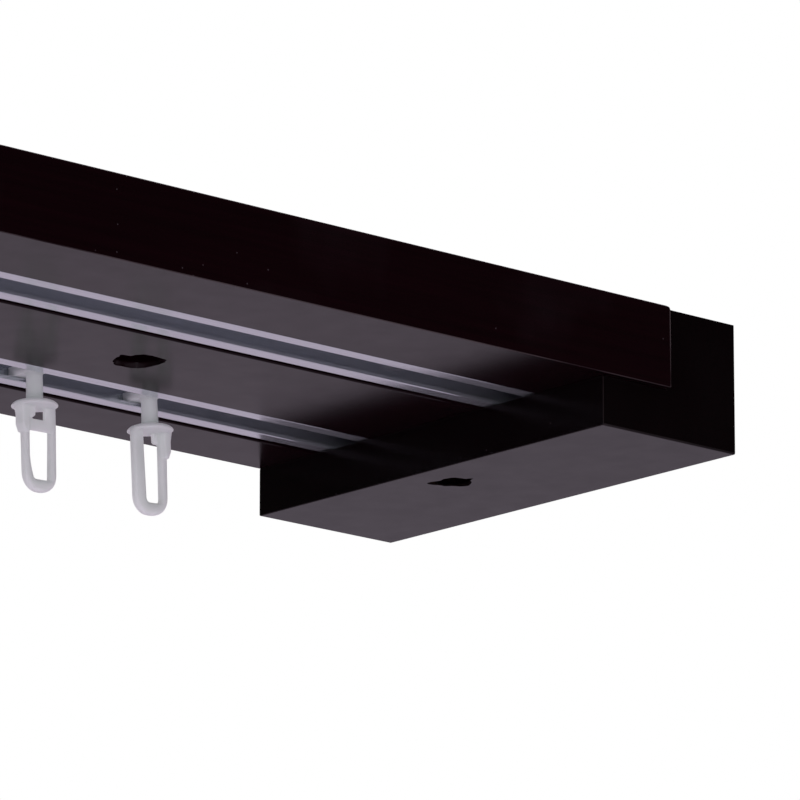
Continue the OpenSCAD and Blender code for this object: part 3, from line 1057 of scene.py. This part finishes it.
def board_varnish(colours):
    return varnish("board_varnish_finish", colours, colours.varnish, colours.gloss, colours.haze)


def cap_varnish(colours):
    return varnish(
        "cap_varnish_finish", colours, colours.cap_varnish, colours.cap_gloss, colours.cap_haze, ACROSS)


def satin_aluminium(base):
    """Anodised aluminium with fine die lines along the channel."""
    finish = Finish("satin_aluminium_finish")
    lines = finish.effect("long_streaks", fineness=2500.0, stretch=300.0)
    finish.set({"Base Color": finish.shade(lines, base, darkest=0.92, lightest=1.06), "Metallic": 0.77})
    finish.drift("Roughness", scale=40.0, low=0.15, high=0.2)
    finish.bump(lines, distance=0.000006, strength=0.6)
    return finish.material


def milky_plastic(base):
    """Slightly see-through moulded plastic, a little uneven in gloss."""
    finish = Finish("milky_plastic_finish")
    clouds = finish.effect("soft_clouds", scale=160.0, low=0.0, high=1.0)
    finish.set({
        "Base Color": finish.shade(clouds, base, darkest=0.97, lightest=1.03), "IOR": 1.45,
        "Subsurface Weight": 1.0, "Subsurface Scale": 0.005, "Subsurface Radius": (1.0, 0.95, 0.95)})
    finish.drift("Roughness", scale=300.0, low=0.36, high=0.48)
    finish.bump(clouds, distance=0.00003, strength=0.5)
    return finish.material


def plated(name, base):
    """Plated steel: even metal with a drifting gloss."""
    finish = Finish(f"{name}_finish")
    clouds = finish.effect("soft_clouds", scale=500.0, low=0.0, high=1.0)
    finish.set({"Base Color": finish.shade(clouds, base, darkest=0.85, lightest=1.1), "Metallic": 1.0})
    finish.drift("Roughness", scale=900.0, low=0.25, high=0.42)
    finish.bump(clouds, distance=0.00002, strength=0.4)
    return finish.material


# Stage

# How steep a direction is, as the sine of its height, where polished faces see the dim upper room in full
DIM_ROOM = 0.22
# The camera's sensor in mm, and how far it sees in metres
SENSOR_WIDTH, SIGHT = 36.0, 100.0


def floor_finish(base):
    """Pale paint that a view from underneath looks through."""
    material = bpy.data.materials.new("floor_finish")
    material.use_nodes = True
    tree = material.node_tree
    paint = tree.nodes["Principled BSDF"]
    feed(tree, base, paint.inputs["Base Color"])
    feed(tree, 0.9, paint.inputs["Roughness"])
    below = add_node(tree, "NewGeometry", {})["Backfacing"]
    clear = add_node(tree, "BsdfTransparent", {})["BSDF"]
    seen = add_node(tree, "MixShader", {"Fac": below, 1: paint.outputs["BSDF"], 2: clear})["Shader"]
    feed(tree, seen, tree.nodes["Material Output"].inputs["Surface"])
    return material


def studio_world(studio):
    """White to the camera, plain fill on the object, and a dimmer upper room in polished faces."""
    world = bpy.data.worlds.new("studio")
    bpy.context.scene.world = world
    world.use_nodes = True
    tree = world.node_tree
    ray = add_node(tree, "LightPath", {})
    direction = add_node(tree, "TexCoord", {})["Generated"]
    height = add_node(tree, "SeparateXYZ", {"Vector": direction})["Z"]
    upper = add_node(tree, "MapRange", {
        "Value": height, "From Min": 0.0, "From Max": DIM_ROOM,
        "To Min": 1.0, "To Max": studio.ceiling_gloss})
    mirrored = calculate(tree, "MAXIMUM", ray["Is Glossy Ray"], ray["Is Transmission Ray"])
    lit = add_node(tree, "Mix", {"Factor": mirrored, "A": studio.fill, "B": upper["Result"]})
    seen = add_node(tree, "Mix", {"Factor": ray["Is Camera Ray"], "A": lit["Result"], "B": 1.0})
    sky = tree.nodes["Background"].inputs
    feed(tree, (1.0, 1.0, 1.0), sky["Color"])
    feed(tree, seen["Result"], sky["Strength"])


class CURTAINTRACK_OT_stage(bpy.types.Operator):
    """Sets up the floor, the light and the camera"""
    bl_idname = "curtain_track.stage"
    bl_label = "Stage"

    def execute(self, context):
        scene = context.scene
        studio = scene.track_studio
        bm = bmesh.new()
        bmesh.ops.create_grid(bm, x_segments=1, y_segments=1, size=studio.floor_width / 2)
        bmesh.ops.translate(bm, vec=(0.0, 0.0, -studio.floor_drop), verts=bm.verts)
        floor = show("floor", bm)
        floor.data.materials.append(floor_finish(scene.track_finishes.floor))
        studio_world(studio)

        lamp = bpy.data.lights.new("soft_lamp", "AREA")
        lamp.energy = studio.lamp_power
        lamp.size = studio.lamp_width
        lamp.color = studio.lamp_colour
        lamp_object = add_object("soft_lamp", lamp)
        turn = Matrix.Rotation(studio.lamp_side, 3, "Z") @ Matrix.Rotation(-studio.lamp_height, 3, "Y")
        lamp_object.location = turn @ Vector((studio.lamp_distance, 0.0, 0.0))
        lamp_object.rotation_euler = lamp_object.location.to_track_quat("Z", "Y").to_euler()
        lamp_object.visible_camera = False

        camera = bpy.data.cameras.new("camera")
        camera.lens = studio.lens
        camera.sensor_width = SENSOR_WIDTH
        camera.clip_end = SIGHT
        camera_object = add_object("camera", camera)
        camera_object.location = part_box("right_end_cap")[0] + Vector(studio.offset)
        camera_object.rotation_euler = (math.pi / 2 + studio.elevation, 0.0, -studio.azimuth)
        scene.camera = camera_object
        scene.view_settings.view_transform = "Standard"
        return {"FINISHED"}


# Panel and registration

STEPS = (
    CURTAINTRACK_OT_stage, CURTAINTRACK_OT_board, CURTAINTRACK_OT_end_caps,
    CURTAINTRACK_OT_channels, CURTAINTRACK_OT_screws, CURTAINTRACK_OT_gliders,
)
SETTINGS = {
    "track_wood": WoodSizes, "track_rails": RailSizes, "track_gliders": GliderSizes,
    "track_finishes": TrackFinishes, "track_studio": StudioSettings,
}


class VIEW3D_PT_curtain_track(bpy.types.Panel):
    """Lists the steps that build the track, with their sizes and colours"""
    bl_label = "Curtain Track"
    bl_space_type = "VIEW_3D"
    bl_region_type = "UI"
    bl_category = "Curtain Track"

    def draw(self, context):
        layout = self.layout
        for step in STEPS:
            layout.operator(step.bl_idname)
        for name, group in SETTINGS.items():
            box = layout.box()
            for field in group.__annotations__:
                box.prop(getattr(context.scene, name), field)


CLASSES = (*SETTINGS.values(), *STEPS, VIEW3D_PT_curtain_track)


def register():
    for item in CLASSES:
        bpy.utils.register_class(item)
    for name, group in SETTINGS.items():
        setattr(bpy.types.Scene, name, bpy.props.PointerProperty(type=group))


def unregister():
    for name in SETTINGS:
        delattr(bpy.types.Scene, name)
    for item in reversed(CLASSES):
        bpy.utils.unregister_class(item)


def main():
    register()
    bpy.ops.curtain_track.stage()
    bpy.ops.curtain_track.board()
    bpy.ops.curtain_track.end_caps()
    bpy.ops.curtain_track.channels()
    bpy.ops.curtain_track.screws()
    bpy.ops.curtain_track.gliders()


if __name__ == "__main__":
    main()
